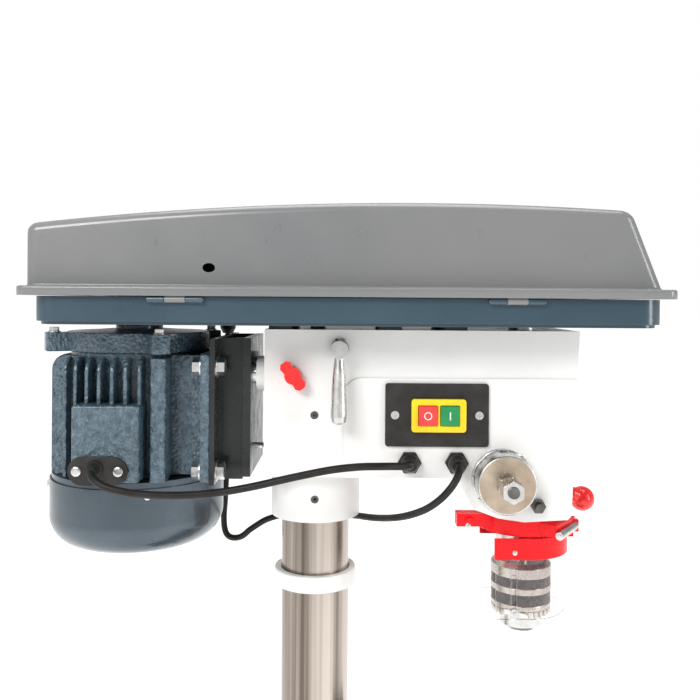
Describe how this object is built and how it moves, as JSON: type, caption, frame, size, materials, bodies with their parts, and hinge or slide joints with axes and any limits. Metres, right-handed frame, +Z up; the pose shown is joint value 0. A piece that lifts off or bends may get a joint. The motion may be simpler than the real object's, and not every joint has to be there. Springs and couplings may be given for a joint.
{
  "type": "drill press",
  "caption": "Bench drill press: belt head with hinged cover and hung motor, round column, tilting table, feed quill, chuck and flip-up guard.",
  "frame": {"origin": "column axis at the underside of the base, on the bench", "axes": "+Z up the column, +X towards the operator's side where the spindle is, -Y the operator's left"},
  "size_m": [0.644, 0.319, 1.0006],
  "materials": {
    "base_paint": "dark grey enamel on cast iron, machined working face",
    "black_plastic": "black moulded plastic",
    "bright_steel": "turned steel",
    "clear_plastic": "clear moulded plastic",
    "column_steel": "ground and brushed steel",
    "cord_black": "black cable sheath",
    "cover_paint": "dark blue-grey gloss enamel on sheet steel",
    "dark_steel": "oiled dark steel",
    "fan_paint": "smooth blue-grey enamel",
    "green_button": "green moulded plastic",
    "motor_paint": "dark blue hammer finish",
    "pulley_alloy": "turned die-cast aluminium",
    "red_button": "red moulded plastic",
    "red_paint": "bright red gloss enamel",
    "red_plastic": "bright red moulded plastic",
    "rubber_black": "black rubber",
    "spring_cap_steel": "turned steel with a light bronze tint",
    "switch_black": "black-brown moulded plate",
    "table_iron": "ground cast iron",
    "white_paint": "white gloss enamel on cast iron",
    "yellow_plastic": "yellow moulded plastic",
    "zinc": "zinc-plated steel"
  },
  "bodies": {
    "root": {"base": "base_paint", "column_flange": "base_paint", "flange_bolts": "zinc", "column": "column_steel", "rack_ring": "white_paint", "head_casting": "white_paint", "head_screws": "dark_steel", "belt_pan": "cover_paint", "pan_pads": "rubber_black", "switch_plate": "switch_black", "switch_bezel": "yellow_plastic", "switch_screws": "zinc", "cable_glands": "black_plastic", "motor_lead": "cord_black", "interlock_lead": "cord_black", "spring_cap": "spring_cap_steel", "return_spring": "dark_steel", "head_bearings": "bright_steel", "motor_belt": "rubber_black", "spindle_belt": "rubber_black"},
    "stop_button": {"stop_button": "red_button"},
    "start_button": {"start_button": "green_button"},
    "motor": {"motor_bracket": "motor_paint", "slide_bars": "bright_steel", "motor_bolts": "zinc", "motor_frame": "motor_paint", "motor_end_shield": "motor_paint", "fan_cover": "fan_paint", "motor_gland_plate": "black_plastic"},
    "rotor": {"motor_rotor": "bright_steel", "cooling_fan": "black_plastic", "motor_pulley": "pulley_alloy"},
    "tension_lever": {"tension_lever": "zinc"},
    "slide_lock": {"slide_lock_knob": "red_plastic"},
    "idler_arm": {"idler_arm": "dark_steel"},
    "idler": {"idler_pulley": "pulley_alloy"},
    "spindle_drive": {"spindle_pulley": "pulley_alloy"},
    "quill": {"quill": "bright_steel", "quill_bearings": "bright_steel", "guard_clamp": "red_paint"},
    "spindle": {"spindle": "bright_steel", "chuck_body": "dark_steel"},
    "chuck_sleeve": {"chuck_sleeve": "bright_steel"},
    "jaw_1": {"chuck_jaw_1": "dark_steel"},
    "jaw_2": {"chuck_jaw_2": "dark_steel"},
    "jaw_3": {"chuck_jaw_3": "dark_steel"},
    "guard": {"guard_band": "red_paint"},
    "shield": {"guard_shield": "clear_plastic"},
    "wing_nut": {"guard_wing_nut": "zinc"},
    "feed": {"feed_shaft": "bright_steel", "feed_arms": "zinc"},
    "rack": {"rack": "dark_steel"},
    "table_bracket": {"table_bracket": "base_paint", "tilt_bolt": "zinc"},
    "bracket_lock": {"bracket_lock": "zinc"},
    "lift_gear": {"lift_gear": "dark_steel"},
    "table_crank": {"table_crank": "dark_steel"},
    "table": {"table": "table_iron"},
    "lid": {"lid": "cover_paint", "lid_hinges": "cover_paint"}
  },
  "joints": [
    {"name": "lid_open", "type": "hinge", "parent": "root", "child": "lid", "pos_m": [0, -0.1336, 0.9114], "axis": [1, 0, 0], "range_deg": [0, 95]},
    {"name": "stop_press", "type": "slide", "parent": "root", "child": "stop_button", "axis": [0, 1, 0], "range_m": [0, 0.0025], "stiffness_N_per_m": 600, "springref_m": -0.001},
    {"name": "start_press", "type": "slide", "parent": "root", "child": "start_button", "axis": [0, 1, 0], "range_m": [0, 0.0025], "stiffness_N_per_m": 600, "springref_m": -0.001},
    {"name": "motor_slide", "type": "slide", "parent": "root", "child": "motor", "axis": [-1, 0, 0], "range_m": [0, 0.015], "deforming": ["motor_belt", "motor_lead"]},
    {"name": "tension_lever_turn", "type": "hinge", "parent": "root", "child": "tension_lever", "pos_m": [0.025, 0, 0.865], "axis": [0, -1, 0], "range_deg": [0, 90]},
    {"name": "slide_lock_turn", "type": "hinge", "parent": "root", "child": "slide_lock", "pos_m": [-0.0195, 0, 0.839], "axis": [0, 1, 0], "range_deg": [0, 90]},
    {"name": "rotor_spin", "type": "hinge", "parent": "motor", "child": "rotor", "pos_m": [-0.186, 0, 0.8], "axis": [0, 0, 1], "continuous": true},
    {"name": "idler_swing", "type": "hinge", "parent": "root", "child": "idler_arm", "pos_m": [0, 0.034, 0.88], "axis": [0, 0, 1], "range_deg": [-8, 8], "deforming": ["motor_belt", "spindle_belt"]},
    {"name": "idler_spin", "type": "hinge", "parent": "idler_arm", "child": "idler", "pos_m": [0, 0, 0.93], "axis": [0, 0, 1], "continuous": true},
    {"name": "spindle_drive_spin", "type": "hinge", "parent": "root", "child": "spindle_drive", "pos_m": [0.216, 0, 0.93], "axis": [0, 0, 1], "continuous": true},
    {"name": "quill_feed", "type": "slide", "parent": "root", "child": "quill", "axis": [0, 0, -1], "range_m": [0, 0.08], "stiffness_N_per_m": 300, "springref_m": -0.35},
    {"name": "feed_turn", "type": "hinge", "parent": "root", "child": "feed", "pos_m": [0.1828, 0, 0.74], "axis": [0, 1, 0], "range_deg": [0, 352.6]},
    {"name": "spindle_spin", "type": "hinge", "parent": "quill", "child": "spindle", "pos_m": [0.216, 0, 0.7], "axis": [0, 0, 1], "continuous": true},
    {"name": "chuck_turn", "type": "hinge", "parent": "spindle", "child": "chuck_sleeve", "pos_m": [0.216, 0, 0.62], "axis": [0, 0, 1], "range_deg": [0, 900]},
    {"name": "jaw_1_slide", "type": "slide", "parent": "spindle", "child": "jaw_1", "axis": [0, -0.2419, -0.9703], "range_m": [0, 0.01]},
    {"name": "jaw_2_slide", "type": "slide", "parent": "spindle", "child": "jaw_2", "axis": [0.2095, 0.121, -0.9703], "range_m": [0, 0.01]},
    {"name": "jaw_3_slide", "type": "slide", "parent": "spindle", "child": "jaw_3", "axis": [-0.2095, 0.121, -0.9703], "range_m": [0, 0.01]},
    {"name": "guard_flip", "type": "hinge", "parent": "quill", "child": "guard", "pos_m": [0.266, 0, 0.681], "axis": [0, -1, 0], "range_deg": [0, 100]},
    {"name": "shield_slide", "type": "slide", "parent": "guard", "child": "shield", "axis": [0, 0, -1], "range_m": [0, 0.03]},
    {"name": "wing_nut_turn", "type": "hinge", "parent": "guard", "child": "wing_nut", "pos_m": [0.2, -0.0445, 0.6025], "axis": [0, 1, 0], "range_deg": [0, 180]},
    {"name": "table_swing", "type": "hinge", "parent": "root", "child": "rack", "pos_m": [0, 0, 0.3], "axis": [0, 0, 1], "range_deg": [-180, 180]},
    {"name": "table_lift", "type": "slide", "parent": "rack", "child": "table_bracket", "axis": [0, 0, -1], "range_m": [-0.15, 0.105]},
    {"name": "lift_gear_turn", "type": "hinge", "parent": "table_bracket", "child": "lift_gear", "pos_m": [0, 0.058, 0.286], "axis": [1, 0, 0], "range_deg": [-424.67, 606.24]},
    {"name": "crank_turn", "type": "hinge", "parent": "table_bracket", "child": "table_crank", "pos_m": [0, 0.1, 0.262], "axis": [0, 1, 0], "range_deg": [-2701, 1891]},
    {"name": "bracket_lock_turn", "type": "hinge", "parent": "table_bracket", "child": "bracket_lock", "pos_m": [-0.056, 0, 0.278], "axis": [0, 1, 0], "range_deg": [-90, 10]},
    {"name": "table_tilt", "type": "hinge", "parent": "table_bracket", "child": "table", "pos_m": [0.12, 0, 0.278], "axis": [1, 0, 0], "range_deg": [-45, 45]}
  ],
  "couplings": [
    {"joint": "tension_lever_turn", "follows": "motor_slide", "rad_per_m": 104.72},
    {"joint": "idler_spin", "follows": "rotor_spin", "ratio": 0.35043},
    {"joint": "spindle_drive_spin", "follows": "rotor_spin", "ratio": 0.35043},
    {"joint": "spindle_spin", "follows": "rotor_spin", "ratio": 0.35043},
    {"joint": "feed_turn", "follows": "quill_feed", "rad_per_m": 76.923},
    {"joint": "lift_gear_turn", "follows": "table_lift", "rad_per_m": -70.423},
    {"joint": "crank_turn", "follows": "table_lift", "rad_per_m": 314.16},
    {"joint": "jaw_1_slide", "follows": "chuck_turn", "m_per_rad": 0.00063662},
    {"joint": "jaw_2_slide", "follows": "chuck_turn", "m_per_rad": 0.00063662},
    {"joint": "jaw_3_slide", "follows": "chuck_turn", "m_per_rad": 0.00063662}
  ]
}
